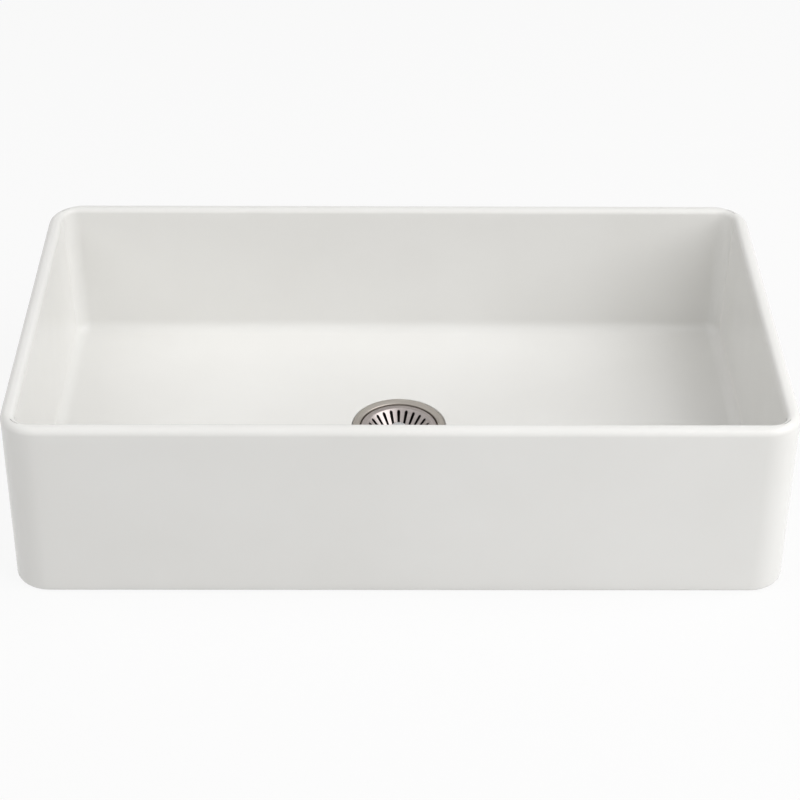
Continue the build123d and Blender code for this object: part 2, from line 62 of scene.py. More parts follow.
# ================================================================= sizes of the basin
CORNER_RADIUS = 40 * MM
FOOT_EDGE_RADIUS = 5 * MM
FOOT_WIDTH = 34 * MM
FOOT_INNER_EDGE = 1.5 * MM
RIM_OUTER_RADIUS = 8 * MM
RIM_FLAT = 2 * MM
RIM_INNER_RADIUS = 6 * MM
RIM_WALL = RIM_OUTER_RADIUS + RIM_FLAT + RIM_INNER_RADIUS
BOWL_DEPTH = 166 * MM
BOWL_CORNER_RADIUS = 18 * MM
BOWL_LEAN = tan(radians(2))
BOWL_FLOOR_RADIUS = 14 * MM
FLOOR_FALL = 5 * MM
PAD_RADIUS = 66 * MM
SEAT_RADIUS = 55.2 * MM
SEAT_DEPTH = 3 * MM
SEAT_EDGE_RADIUS = 0.8 * MM
COUNTERSINK_RADIUS = 49.6 * MM
COUNTERSINK_DEPTH = 7 * MM
HOLE_RADIUS = 46 * MM
OUTLET_FLOOR = 18 * MM
OUTLET_PAD_EDGE = 60 * MM
EDGE_EASE = 0.1 * MM
HOLE_LOWER_EDGE = 0.4 * MM
HOLE_COLLAR = 14 * MM
UNDERSIDE_LEAN_DEGREES = 4
UNDERSIDE_LEAN = tan(radians(UNDERSIDE_LEAN_DEGREES))
UNDERSIDE_COVE = 8 * MM
UNDERSIDE_CORNER_RADIUS = 26 * MM
FLOOR_Z = HEIGHT - BOWL_DEPTH
OUTLET_Z = FLOOR_Z - FLOOR_FALL
UNDERSIDE_Z = OUTLET_Z - OUTLET_FLOOR

# points along one straight side and round one corner of each ring of the basin
LONG_SIDE_STEPS = 64
SHORT_SIDE_STEPS = 36
CORNER_STEPS = 14
# rings of the basin: bare under the foot, over the falling floor, under the recess
FOOT_RINGS = 5
FLOOR_RINGS = 30
RECESS_RINGS = 12
BARE_HOLE_RINGS = 3
# waves of the fired walls: depth, two wave numbers per metre, and how they die out towards
# the outlet and the foot
WAVE_DEPTH = 0.35 * MM
LONG_WAVES = 9
SHORT_WAVES = 26
OUTLET_CALM = 0.07
OUTLET_CALM_FADE = 0.06
FOOT_CALM_FADE = 0.03
# the glaze ends at this height, and wanders by this much
GLAZE_EDGE = 0.2 * MM
GLAZE_EDGE_WANDER = 2.4 * MM


# ================================================================= sizes of the waste, in mm
# radii and heights count from its upright axis and from the floor of the bowl at the outlet
SHEET = 1.6
FLANGE_RADIUS = 54.0
FLANGE_PROUD = 1.2
FLANGE_DISH = 2.0
FLANGE_LIP = 2.3
LEDGE_RADIUS = 45.4
LEDGE_DEPTH = 4.6
BARREL_BORE_RADIUS = 41.8
BARREL_RADIUS = BARREL_BORE_RADIUS + SHEET
CUP_BEND = 5.0
CUP_CONE_DEPTH = 43.0
CUP_DEPTH = 45.0
# painted shade: the inside of the cup takes a near-black, dull steel from this far below the ledge
BELOW_LEDGE = 0.8
OUTLET_BORE_RADIUS = 20.0
OUTLET_THREAD_RADIUS = 23.9
OUTLET_END = 66.0
# crest radius, pitch, depth, and lower and upper end of each thread
THREADS = [
    (BARREL_RADIUS, 1.6, 0.45, -37.6, -12.0),
    (OUTLET_THREAD_RADIUS, 2.2, 0.8, -65.4, -48.5),
]
LOCKNUT_TOP = -22.0
LOCKNUT_HEIGHT = 12.0
LOCKNUT_FACE = 3.5
LOCKNUT_BORE = 43.5
LOCKNUT_RADIUS = 52.0
LOCKNUT_REACH = 56.5
LUG_COUNT = 8
LUG_WIDTH = 13.0
TAILPIECE_DEPTH = 68.0
TAILPIECE_RADIUS = 19.05
TAILPIECE_WALL = 0.9
TAILPIECE_FLANGE_RADIUS = 22.9
TAILPIECE_LENGTH = 101.6
COUPLING_BORE = 24.0
COUPLING_APOTHEM = 28.5
COUPLING_CORNER = 2 * COUPLING_APOTHEM / sqrt(3)
COUPLING_CHAMFER = 3.0
COUPLING_TOP = -54.0
COUPLING_BOTTOM = -71.9
BASKET_SHEET = 1.0
BASKET_RADIUS = 44.5
BASKET_RIM_SEAT = -4.3
BASKET_RIM_ROLL = 1.4
BASKET_CROWN = -1.9
BASKET_SHOULDER = 37.7
BASKET_DEPTH = 20.5
BUSH_RADIUS = 6.45
SLOT_COUNT = 24
SLOT_REACH = 36.4
SLOT_LENGTH = 16.5
SLOT_OUTER_WIDTH = 3.8
SLOT_INNER_WIDTH = 2.3
BAR_STEPS = 6
POST_RADIUS = 4.0
KNOB_RADIUS = 8.5
KNOB_TOP = -0.4
KNOB_CAP = 4.2
KNOB_BOTTOM = -16.7
WELD = 0.000002
CREASE_DEGREES = 38


# ================================================================= mesh helpers
def mesh_piece(name, points, faces, body, node, slot, *materials):
    """A smooth mesh that stands for a node of the frame and moves with its body."""
    data = bpy.data.meshes.new(name)
    data.from_pydata([tuple(p) for p in points], [], faces)
    data.polygons.foreach_set("use_smooth", [True] * len(data.polygons))
    for material in materials:
        data.materials.append(material)
    data.update()
    piece = bpy.data.objects.new(name, data)
    bpy.context.scene.collection.objects.link(piece)
    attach(piece, body)
    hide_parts(node)
    return piece


def loop_faces(rows, columns, closed_rows=True):
    """Quads of a grid whose columns close round, and whose rows may close as well."""
    faces = []
    for i in range(rows if closed_rows else rows - 1):
        for j in range(columns):
            after_i = (i + 1) % rows
            after_j = (j + 1) % columns
            row = i * columns
            next_row = after_i * columns
            faces.append((row + j, row + after_j, next_row + after_j, next_row + j))
    return faces


def arc(centre, radius, start, end, steps):
    """Points of an arc in the (inset or radius, height) plane; angles in degrees."""
    angles = np.radians(np.linspace(start, end, steps + 1))
    return [(centre[0] + radius * cos(a), centre[1] + radius * sin(a)) for a in angles]


def line(start, end, steps):
    """Points strictly between two ends of a straight stretch."""
    shares = np.linspace(0, 1, steps + 2)[1:-1]
    run, rise = end[0] - start[0], end[1] - start[1]
    return [(start[0] + share * run, start[1] + share * rise) for share in shares]


# ================================================================= basin
def rounded_ring(inset, radius):
    """Plan of a rounded rectangle, at a distance inside the basin's outer faces."""
    half_x = HALF_WIDTH - inset
    half_y = HALF_DEPTH - inset
    points = []
    corners = [(1, 1, 0), (-1, 1, 90), (-1, -1, 180), (1, -1, 270)]
    for k, (side_x, side_y, start) in enumerate(corners):
        centre = np.array([side_x * (half_x - radius), side_y * (half_y - radius)])
        for step in range(CORNER_STEPS):
            angle = radians(start + 90 * step / CORNER_STEPS)
            points.append(centre + radius * np.array([cos(angle), sin(angle)]))
        angle = radians(start + 90)
        first = centre + radius * np.array([cos(angle), sin(angle)])
        next_x, next_y, _ = corners[(k + 1) % 4]
        next_centre = np.array([next_x * (half_x - radius), next_y * (half_y - radius)])
        last = next_centre + radius * np.array([cos(angle), sin(angle)])
        steps = LONG_SIDE_STEPS if k % 2 == 0 else SHORT_SIDE_STEPS
        points += [first + (last - first) * s / steps for s in range(steps)]
    return np.array(points)


def round_ring(radius, plan):
    """Circle about the outlet, with its points towards those of a given plan."""
    spokes = plan - np.array([0, OUTLET_Y])
    return np.array([0, OUTLET_Y]) + radius * spokes / np.linalg.norm(spokes, axis=1)[:, None]


def at_height(plan, height):
    return np.column_stack([plan, np.full(len(plan), height)])


def eased(share, ease=0.25):
    """Rises from 0 to 1 in a straight line with both ends eased."""
    top = 1 / (1 - ease)
    if share < ease:
        return top * share * share / (2 * ease)
    if share > 1 - ease:
        return 1 - top * (1 - share) ** 2 / (2 * ease)
    return top * (share - ease / 2)


def basin_sections():
    """Outer skin of the basin as (inset, height, corner radius), from the foot to the floor."""
    lean = degrees_of(BOWL_LEAN)
    roll = arc((RIM_OUTER_RADIUS, HEIGHT - RIM_OUTER_RADIUS), RIM_OUTER_RADIUS, 180, 90, 10)
    foot_edge = arc((FOOT_EDGE_RADIUS, FOOT_EDGE_RADIUS), FOOT_EDGE_RADIUS, 270, 180, 8)
    outside = [(FOOT_WIDTH - FOOT_INNER_EDGE, 0)]
    outside += line(outside[-1], foot_edge[0], 4) + foot_edge
    outside += line(foot_edge[-1], roll[0], 26) + roll

    mouth_shift = RIM_INNER_RADIUS * (1 / cos(radians(lean)) - 1 + BOWL_LEAN)
    mouth_centre = (RIM_WALL - RIM_INNER_RADIUS + mouth_shift, HEIGHT - RIM_INNER_RADIUS)
    mouth = arc(mouth_centre, RIM_INNER_RADIUS, 90, lean, 8)
    wall_run = (BOWL_DEPTH - BOWL_FLOOR_RADIUS) * BOWL_LEAN
    cove_reach = BOWL_FLOOR_RADIUS * sqrt(1 + BOWL_LEAN ** 2)
    cove_centre = (RIM_WALL + wall_run + cove_reach, FLOOR_Z + BOWL_FLOOR_RADIUS)
    cove = arc(cove_centre, BOWL_FLOOR_RADIUS, 180 + lean, 270, 12)
    wall = line(mouth[-1], cove[0], 22)
    section = [(i, h, max(CORNER_RADIUS - i, BOWL_CORNER_RADIUS)) for i, h in outside]
    section += [(i, h, BOWL_CORNER_RADIUS + mouth[-1][0] - i) for i, h in mouth]
    section += [(i, h, BOWL_CORNER_RADIUS) for i, h in wall]
    section += [(i, h, BOWL_CORNER_RADIUS + cove[0][0] - i) for i, h in cove]
    return section


def degrees_of(slope):
    return atan2(slope, 1) * 180 / pi


def make_basin():
    rings = [
        at_height(rounded_ring(inset, radius), height)
        for inset, height, radius in basin_sections()
    ]
    glazed_rings = len(rings)
    floor_plan = rings[-1][:, :2]
    pad_plan = round_ring(PAD_RADIUS, floor_plan)
    for step in range(1, FLOOR_RINGS + 1):
        share = step / FLOOR_RINGS
        plan = floor_plan + (pad_plan - floor_plan) * share
        rings.append(at_height(plan, FLOOR_Z + (OUTLET_Z - FLOOR_Z) * eased(share)))
    seat_centre = (SEAT_RADIUS + SEAT_EDGE_RADIUS, OUTLET_Z - SEAT_EDGE_RADIUS)
    seat = arc(seat_centre, SEAT_EDGE_RADIUS, 90, 180, 4)
    seat_floor = OUTLET_Z - SEAT_DEPTH
    hole = [(OUTLET_PAD_EDGE, OUTLET_Z)] + seat + [
        (SEAT_RADIUS, seat_floor + EDGE_EASE),
        (SEAT_RADIUS - EDGE_EASE, seat_floor),
        (COUNTERSINK_RADIUS, seat_floor),
        (HOLE_RADIUS, seat_floor - COUNTERSINK_DEPTH),
        (HOLE_RADIUS, UNDERSIDE_Z + HOLE_LOWER_EDGE),
        (HOLE_RADIUS + HOLE_LOWER_EDGE, UNDERSIDE_Z),
        (HOLE_RADIUS + HOLE_COLLAR, UNDERSIDE_Z),
    ]
    rings += [at_height(round_ring(radius, floor_plan), height) for radius, height in hole]
    glazed_faces = len(rings) - BARE_HOLE_RINGS

    recess_top = FOOT_WIDTH + UNDERSIDE_LEAN * UNDERSIDE_Z
    cove_centre = (recess_top + UNDERSIDE_COVE, UNDERSIDE_Z - UNDERSIDE_COVE)
    recess = arc(cove_centre, UNDERSIDE_COVE, 90, 180 - UNDERSIDE_LEAN_DEGREES, 6)
    under_plan = rounded_ring(recess[0][0], UNDERSIDE_CORNER_RADIUS - UNDERSIDE_COVE)
    inner_plan = rings[-1][:, :2]
    for step in range(1, RECESS_RINGS):
        share = step / RECESS_RINGS
        rings.append(at_height(inner_plan + (under_plan - inner_plan) * share, UNDERSIDE_Z))
    foot_inner = arc((FOOT_WIDTH - FOOT_INNER_EDGE, FOOT_INNER_EDGE), FOOT_INNER_EDGE, 0, -90, 4)
    recess += line(recess[-1], foot_inner[0], 3) + foot_inner[:-1]
    for inset, height in recess:
        radius = UNDERSIDE_CORNER_RADIUS - max(0, inset - recess_top)
        rings.append(at_height(rounded_ring(inset, radius), height))

    points = np.array(rings)
    points = settle_waves(points, glazed_rings + FLOOR_RINGS)
    rows, columns = points.shape[:2]
    piece = mesh_piece(
        "fireclay_basin", points.reshape(-1, 3), loop_faces(rows, columns), "basin", "sink_basin",
        "fireclay_glaze", glaze, bisque,
    )
    indices = np.zeros(rows * columns, int)
    indices[: FOOT_RINGS * columns] = 1
    indices[glazed_faces * columns:] = 1
    piece.data.polygons.foreach_set("material_index", indices)
    return piece


def settle_waves(points, wavy_rings):
    """Slight inward waves that the firing leaves in long walls; none at the foot or outlet."""
    across = np.roll(points, -1, axis=1) - np.roll(points, 1, axis=1)
    along = np.roll(points, -1, axis=0) - np.roll(points, 1, axis=0)
    normals = np.cross(across, along)
    normals /= np.linalg.norm(normals, axis=2)[:, :, None] + 1e-12
    moved = points.copy()
    for i in range(FOOT_RINGS, wavy_rings):
        for j in range(points.shape[1]):
            p = Vector(points[i, j])
            away = (p - Vector((0, OUTLET_Y, OUTLET_Z))).length
            calm = min(1, max(0, (away - OUTLET_CALM) / OUTLET_CALM_FADE))
            calm *= min(1, p.z / FOOT_CALM_FADE)
            wave = 0.5 + 0.5 * noise.noise(p * LONG_WAVES) * 0.7
            wave += 0.5 * noise.noise(p * SHORT_WAVES) * 0.3
            moved[i, j] -= normals[i, j] * WAVE_DEPTH * wave * calm
    return moved


# ================================================================= waste
def with_bends(points, bends, steps=5):
    """Open outline whose inner corners are replaced by arcs of the given radii."""
    outline = [np.array(points[0], float)]
    for i, bend in enumerate(bends, start=1):
        corner = np.array(points[i], float)
        before = np.array(points[i - 1], float) - corner
        after = np.array(points[i + 1], float) - corner
        room = 0.49 * min(np.linalg.norm(before), np.linalg.norm(after))
        before /= np.linalg.norm(before)
        after /= np.linalg.norm(after)
        half = acos(before @ after) / 2
        setback = min(bend / tan(half), room)
        middle = (before + after) / np.linalg.norm(before + after)
        centre = corner + middle * setback / cos(half)
        first = corner + before * setback - centre
        last = corner + after * setback - centre
        turn = pi - 2 * half
        for share in np.linspace(0, 1, steps + 1):
            mixed = sin((1 - share) * turn) * first + sin(share * turn) * last
            outline.append(centre + mixed / sin(turn))
    outline.append(np.array(points[-1], float))
    return np.array(outline)


def other_face(face, thickness):
    """Second face of a sheet, at its thickness to the left of the first."""
    along = np.gradient(face, axis=0)
    across = np.column_stack([-along[:, 1], along[:, 0]])
    return face + thickness * across / np.linalg.norm(across, axis=1)[:, None]


def turned(outline, columns, shape=None, closed=True):
    """Points and faces of an outline of (radius, height) turned about the waste's axis."""
    angles = np.arange(columns) * 2 * pi / columns
    outline = np.array(outline)
    radius = np.repeat(outline[:, :1], columns, axis=1)
    height = np.repeat(outline[:, 1:], columns, axis=1)
    if shape:
        radius = shape(radius, height, angles)
    x = radius * np.cos(angles)
    y = radius * np.sin(angles) + OUTLET_Y / MM
    points = np.stack([x, y, height + OUTLET_Z / MM], axis=2) * MM
    return points.reshape(-1, 3), loop_faces(len(outline), columns, closed)


def waste_piece(name, mesh, body, node, slot, *materials):
    """Turned or pressed piece of the waste, with welded seams and crisp edges."""
    piece = mesh_piece(name, *mesh, body, node, slot, *materials)
    weld = bmesh.new()
    weld.from_mesh(piece.data)
    bmesh.ops.remove_doubles(weld, verts=weld.verts, dist=WELD)
    bmesh.ops.recalc_face_normals(weld, faces=weld.faces)
    weld.to_mesh(piece.data)
    weld.free()
    piece.data.set_sharp_from_angle(angle=radians(CREASE_DEGREES))
    return piece


def threaded(radius, height, angles):
    """Cuts right-hand threads into the outside of the barrel and of the outlet."""
    for crest, pitch, depth, low, high in THREADS:
        phase = 2 * pi * height / pitch - angles
        run_out = np.clip(np.minimum(height - low, high - height) / pitch, 0, 1)
        cut = depth * run_out * (0.5 + 0.5 * np.cos(phase))
        radius = np.where(abs(radius - crest) < 0.05, crest - cut, radius)
    return radius


def make_strainer_body():
    """Flange, cup and threaded outlet in one sheet; brushed outside, with painted shade inside the
    cup, whose inner faces take a near-black, dull steel.
    """
    face = with_bends(
        [
            (FLANGE_RADIUS, FLANGE_PROUD - FLANGE_LIP - SHEET),
            (FLANGE_RADIUS, FLANGE_PROUD),
            (LEDGE_RADIUS + 0.6, FLANGE_PROUD - FLANGE_DISH),
            (LEDGE_RADIUS, -LEDGE_DEPTH),
            (BARREL_BORE_RADIUS, -LEDGE_DEPTH),
            (BARREL_BORE_RADIUS, -CUP_CONE_DEPTH),
            (OUTLET_BORE_RADIUS, -CUP_DEPTH),
            (OUTLET_BORE_RADIUS, -OUTLET_END),
        ],
        [SHEET + 0.3, 1.0, 0.8, 0.9, CUP_BEND, SHEET + 0.4], 6,
    )
    back = other_face(face, SHEET)
    spigot_top = -CUP_DEPTH - SHEET - 0.6
    above_spigot = [p for p in back if p[0] > OUTLET_THREAD_RADIUS + 0.4]
    barrel_bottom = -CUP_CONE_DEPTH + CUP_BEND
    upper = [p for p in above_spigot if p[1] > -LEDGE_DEPTH - 4.0]
    lower = [p for p in above_spigot if p[1] < barrel_bottom + 0.01]
    barrel = line((BARREL_RADIUS, -LEDGE_DEPTH - 4.0), (BARREL_RADIUS, barrel_bottom), 170)
    outlet_low = (OUTLET_THREAD_RADIUS, -OUTLET_END + 0.4)
    outlet = line((OUTLET_THREAD_RADIUS, spigot_top), outlet_low, 84)
    outline = list(face) + [(OUTLET_THREAD_RADIUS - 0.8, -OUTLET_END)] + outlet[::-1]
    outline += lower[::-1] + barrel[::-1] + upper[::-1]
    piece = waste_piece(
        "pressed_strainer_body", turned(outline, 144, threaded), "basin", "strainer_body",
        "brushed_steel", brushed_steel, cup_painted_shade_steel,
    )
    # painted shade: faces inside the cup below the ledge that face the axis or point up take the
    # near-black steel
    for face in piece.data.polygons:
        outward = Vector((face.center.x, face.center.y - OUTLET_Y, 0))
        faces_axis = face.normal.dot(outward) < -0.3 * outward.length
        faces_up = face.normal.z > 0.5 and outward.length < BARREL_BORE_RADIUS * MM
        in_cup = face.center.z < OUTLET_Z - (LEDGE_DEPTH + BELOW_LEDGE) * MM
        face.material_index = int(in_cup and (faces_axis or faces_up))
    return piece


def lugged(radius, height, angles):
    """Takes the ring nut in between its lugs, below its wide face."""
    pitch = 2 * pi / LUG_COUNT
    off_lug = abs((angles + pitch / 2) % pitch - pitch / 2) * LOCKNUT_REACH
    between = eased_step((off_lug - LUG_WIDTH / 2 + 1.6) / 3.2)
    below = eased_step((LOCKNUT_TOP - LOCKNUT_FACE - height) / 1.4)
    outside = np.maximum(radius - LOCKNUT_RADIUS, 0)
    return radius - outside * between * below


def eased_step(share):
    share = np.clip(share, 0, 1)
    return share * share * (3 - 2 * share)


def make_locknut():
    bottom = LOCKNUT_TOP - LOCKNUT_HEIGHT
    corners = [
        (LOCKNUT_BORE, (LOCKNUT_TOP + bottom) / 2),
        (LOCKNUT_BORE, LOCKNUT_TOP),
        (LOCKNUT_REACH, LOCKNUT_TOP),
        (LOCKNUT_REACH, bottom),
        (LOCKNUT_BORE, bottom),
        (LOCKNUT_BORE, (LOCKNUT_TOP + bottom) / 2 - 0.01),
    ]
    rounded = with_bends(corners, [0.6, 0.7, 1.2, 0.8], 4)
    split = next(
        i for i, p in enumerate(rounded)
        if p[0] == LOCKNUT_REACH and p[1] < LOCKNUT_TOP - 1
    )
    side = line(rounded[split - 1], rounded[split], 18)
    outline = list(rounded[:split]) + side + list(rounded[split:])
    return waste_piece(
        "cast_locknut", turned(outline, 240, lugged), "basin", "locknut", "cast_zinc", zinc
    )


def hexagonal(radius, height, angles):
    """Takes the outside of the coupling nut in to six chamfered flats."""
    flat = (angles % (pi / 3)) - pi / 6
    hexagon = np.minimum(COUPLING_APOTHEM / np.cos(flat), COUPLING_CORNER - 0.4)
    from_end = np.minimum(COUPLING_TOP - height, height - COUPLING_BOTTOM)
    chamfer = COUPLING_CORNER - COUPLING_CHAMFER + 2 * np.maximum(from_end, 0)
    return np.where(radius > COUPLING_APOTHEM, np.minimum(hexagon, chamfer), radius)


def make_coupling_nut():
    shoulder = -TAILPIECE_DEPTH - TAILPIECE_WALL
    corners = [
        (COUPLING_BORE, -OUTLET_END),
        (COUPLING_BORE, COUPLING_TOP),
        (COUPLING_APOTHEM - 0.5, COUPLING_TOP),
    ]
    top = list(with_bends(corners, [0.8], 3))
    outside = line(
        (COUPLING_CORNER, COUPLING_TOP + 0.1), (COUPLING_CORNER, COUPLING_BOTTOM - 0.1), 46
    )
    lip = [
        (COUPLING_APOTHEM - 0.5, COUPLING_BOTTOM),
        (TAILPIECE_RADIUS + 1.0, COUPLING_BOTTOM),
        (TAILPIECE_RADIUS + 1.0, shoulder),
        (COUPLING_BORE, shoulder),
    ]
    outline = top + outside + list(with_bends(lip, [0.8, 0.4], 3))
    return waste_piece(
        "hexagonal_coupling_nut", turned(outline, 144, hexagonal), "basin", "coupling_nut",
        "chromed_brass", chrome,
    )


def make_tailpiece():
    bore = TAILPIECE_RADIUS - TAILPIECE_WALL
    face = with_bends(
        [
            (TAILPIECE_FLANGE_RADIUS, -TAILPIECE_DEPTH),
            (bore, -TAILPIECE_DEPTH),
            (bore, -TAILPIECE_DEPTH - TAILPIECE_LENGTH),
        ],
        [0.6], 4,
    )
    outline = list(face) + list(other_face(face, TAILPIECE_WALL))[::-1]
    return waste_piece(
        "chromed_tailpiece", turned(outline, 96), "basin", "tailpiece", "chromed_tube", chrome
    )


def slot_half_width(radius):
    """Half width of a slot of the basket at a radius; its ends are round."""
    outer_round = SLOT_OUTER_WIDTH / 2
    inner_round = SLOT_INNER_WIDTH / 2
    outer_centre = SLOT_REACH - outer_round
    inner_centre = SLOT_REACH - SLOT_LENGTH + inner_round
    if radius > outer_centre:
        return sqrt(max(outer_round ** 2 - (radius - outer_centre) ** 2, 0))
    if radius < inner_centre:
        return sqrt(max(inner_round ** 2 - (radius - inner_centre) ** 2, 0))
    share = (radius - inner_centre) / (outer_centre - inner_centre)
    return inner_round + share * (outer_round - inner_round)


def make_basket_shell():
    cone_run = BASKET_CROWN + BASKET_DEPTH
    bent = with_bends(
        [
            (BASKET_RADIUS, BASKET_RIM_SEAT),
            (BASKET_RADIUS, BASKET_CROWN),
            (BASKET_SHOULDER, BASKET_CROWN),
            (BASKET_SHOULDER - cone_run, -BASKET_DEPTH),
            (BUSH_RADIUS, -BASKET_DEPTH),
        ],
        [BASKET_RIM_ROLL, 2.0, 5.0], 6,
    )
    turns = np.linspace(0, pi / 2, 7)
    ends = [SLOT_REACH - SLOT_OUTER_WIDTH / 2 * (1 - sin(a)) for a in turns[::-1]]
    starts = [SLOT_REACH - SLOT_LENGTH + SLOT_INNER_WIDTH / 2 * (1 - sin(a)) for a in turns]
    along_slot = ends + list(np.linspace(ends[-1], starts[0], 16)[1:-1]) + starts
    outside = [p for p in bent if p[0] > SLOT_REACH + 0.05 or p[1] == BASKET_RIM_SEAT]
    inside = [p for p in bent if p[0] < SLOT_REACH - SLOT_LENGTH - 0.05]
    slope = bent[::-1]
    slotted = [(r, np.interp(r, slope[:, 0], slope[:, 1])) for r in along_slot]
    face = np.array(outside + slotted + inside)
    first = len(outside)
    count = len(face)
    rows = list(face) + list(other_face(face, BASKET_SHEET))[::-1]
    halves = [0.0] * first + [slot_half_width(r) for r in along_slot] + [0.0] * len(inside)
    halves += halves[::-1]

    points = []
    sector = 2 * pi / SLOT_COUNT
    for (radius, height), half in zip(rows, halves):
        edge = half / radius
        for k in range(SLOT_COUNT):
            for step in range(BAR_STEPS + 1):
                angle = k * sector + edge + (sector - 2 * edge) * step / BAR_STEPS
                points.append((
                    radius * cos(angle) * MM,
                    radius * sin(angle) * MM + OUTLET_Y,
                    height * MM + OUTLET_Z,
                ))

    def index(row, k, step):
        ring = (row % (2 * count)) * SLOT_COUNT
        return (ring + k % SLOT_COUNT) * (BAR_STEPS + 1) + step

    faces = []
    for row in range(2 * count):
        for k in range(SLOT_COUNT):
            for step in range(BAR_STEPS):
                faces.append((
                    index(row, k, step), index(row, k, step + 1),
                    index(row + 1, k, step + 1), index(row + 1, k, step),
                ))
    for row in range(first, first + len(along_slot) - 1):
        below = 2 * count - 1 - row
        for k in range(SLOT_COUNT):
            for step in (0, BAR_STEPS):
                faces.append((
                    index(row, k, step), index(row + 1, k, step),
                    index(below - 1, k, step), index(below, k, step),
                ))
    return waste_piece(
        "slotted_basket", (points, faces), "basket", "basket_shell", "basket_steel", basket_steel
    )


def make_basket_knob():
    neck = POST_RADIUS + 1.65
    outline = with_bends(
        [
            (0, KNOB_TOP),
            (KNOB_RADIUS - 2.4, KNOB_TOP - 0.12),
            (KNOB_RADIUS, KNOB_TOP - 0.9),
            (KNOB_RADIUS, KNOB_TOP - KNOB_CAP),
            (neck, KNOB_TOP - KNOB_CAP),
            (neck, KNOB_BOTTOM),
            (POST_RADIUS + 0.05, KNOB_BOTTOM),
            (POST_RADIUS + 0.05, KNOB_TOP - 3.4),
            (0, KNOB_TOP - 3.4),
        ],
        [3.0, 1.3, 1.2, 1.5, 0.3, 0.1, 0.1], 5,
    )
    mesh = turned(outline, 64, closed=False)
    return waste_piece(
        "turned_knob", mesh, "stopper", "basket_knob", "polished_knob", knob_steel
    )


# ================================================================= materials
def new_material(name):
    material = bpy.data.materials.new(name)
    material.use_nodes = True
    tree = material.node_tree
    tree.nodes.clear()
    output = tree.nodes.new("ShaderNodeOutputMaterial")
    shader = tree.nodes.new("ShaderNodeBsdfPrincipled")
    tree.links.new(shader.outputs[0], output.inputs["Surface"])
    return material, tree, shader


def add(tree, kind, **settings):
    node = tree.nodes.new("ShaderNode" + kind)
    for key, value in settings.items():
        if hasattr(node, key):
            setattr(node, key, value)
        else:
            node.inputs[key.replace("_", " ").title()].default_value = value
    return node


def ramp(tree, source, low, high, low_colour, high_colour):
    node = tree.nodes.new("ShaderNodeValToRGB")
    node.color_ramp.elements[0].position = low
    node.color_ramp.elements[1].position = high
    node.color_ramp.elements[0].color = (*low_colour, 1)
    node.color_ramp.elements[1].color = (*high_colour, 1)
    tree.links.new(source, node.inputs[0])
    return node.outputs[0]


def noise_of(tree, vector, scale, detail=2.0):
    node = tree.nodes.new("ShaderNodeTexNoise")
    node.inputs["Scale"].default_value = scale
    node.inputs["Detail"].default_value = detail
    tree.links.new(vector, node.inputs["Vector"])
    return node.outputs["Fac"]


def bump(tree, shader, height, distance, strength=1.0):
    node = tree.nodes.new("ShaderNodeBump")
    node.inputs["Distance"].default_value = distance
    node.inputs["Strength"].default_value = strength
    tree.links.new(height, node.inputs["Height"])
    tree.links.new(node.outputs[0], shader.inputs["Normal"])


def object_coordinates(tree):
    return tree.nodes.new("ShaderNodeTexCoord").outputs["Object"]


def make_glaze():
    """White glaze with faint clouding and orange peel, thin and bare along the foot."""
    material, tree, shader = new_material("white_fireclay_glaze")
    where = object_coordinates(tree)
    cloud = noise_of(tree, where, 5, 3)
    white = ramp(tree, cloud, 0.3, 0.7, (0.80, 0.795, 0.775), (0.83, 0.826, 0.809))
    bare = glaze_line(tree, where)
    clay_grain = noise_of(tree, where, 60, 5)
    clay = ramp(tree, clay_grain, 0.3, 0.75, (0.58, 0.53, 0.44), (0.68, 0.64, 0.56))
    colour = add(tree, "Mix", data_type="RGBA")
    tree.links.new(bare, colour.inputs[0])
    tree.links.new(white, colour.inputs[6])
    tree.links.new(clay, colour.inputs[7])
    tree.links.new(colour.outputs[2], shader.inputs["Base Color"])
    rough = add(tree, "MapRange", data_type="FLOAT")
    tree.links.new(bare, rough.inputs["Value"])
    gloss = ramp(tree, noise_of(tree, where, 30, 3), 0.3, 0.7, (0.07,) * 3, (0.11,) * 3)
    tree.links.new(gloss, rough.inputs["To Min"])
    rough.inputs["To Max"].default_value = 0.85
    tree.links.new(rough.outputs[0], shader.inputs["Roughness"])
    shader.inputs["IOR"].default_value = 1.5
    shader.inputs["Specular IOR Level"].default_value = 0.25
    bump(tree, shader, noise_of(tree, where, 260, 2), 0.00002)
    return material


def glaze_line(tree, where):
    """0 on the glaze and 1 on the bare clay below its uneven edge, just above the foot."""
    split = tree.nodes.new("ShaderNodeSeparateXYZ")
    tree.links.new(where, split.inputs[0])
    edge = add(tree, "Math", operation="MULTIPLY_ADD")
    tree.links.new(noise_of(tree, where, 45, 2), edge.inputs[0])
    edge.inputs[1].default_value = -GLAZE_EDGE_WANDER
    tree.links.new(split.outputs["Z"], edge.inputs[2])
    bare = add(tree, "MapRange")
    bare.inputs["From Min"].default_value = GLAZE_EDGE + 0.3 * MM
    bare.inputs["From Max"].default_value = GLAZE_EDGE - 0.1 * MM
    tree.links.new(edge.outputs[0], bare.inputs["Value"])
    return bare.outputs[0]


def make_bisque():
    material, tree, shader = new_material("unglazed_fireclay")
    where = object_coordinates(tree)
    grain = noise_of(tree, where, 40, 5)
    colour = ramp(tree, grain, 0.3, 0.75, (0.60, 0.55, 0.46), (0.70, 0.66, 0.58))
    tree.links.new(colour, shader.inputs["Base Color"])
    shader.inputs["Roughness"].default_value = 0.85
    bump(tree, shader, noise_of(tree, where, 700, 4), 0.0002)
    return material


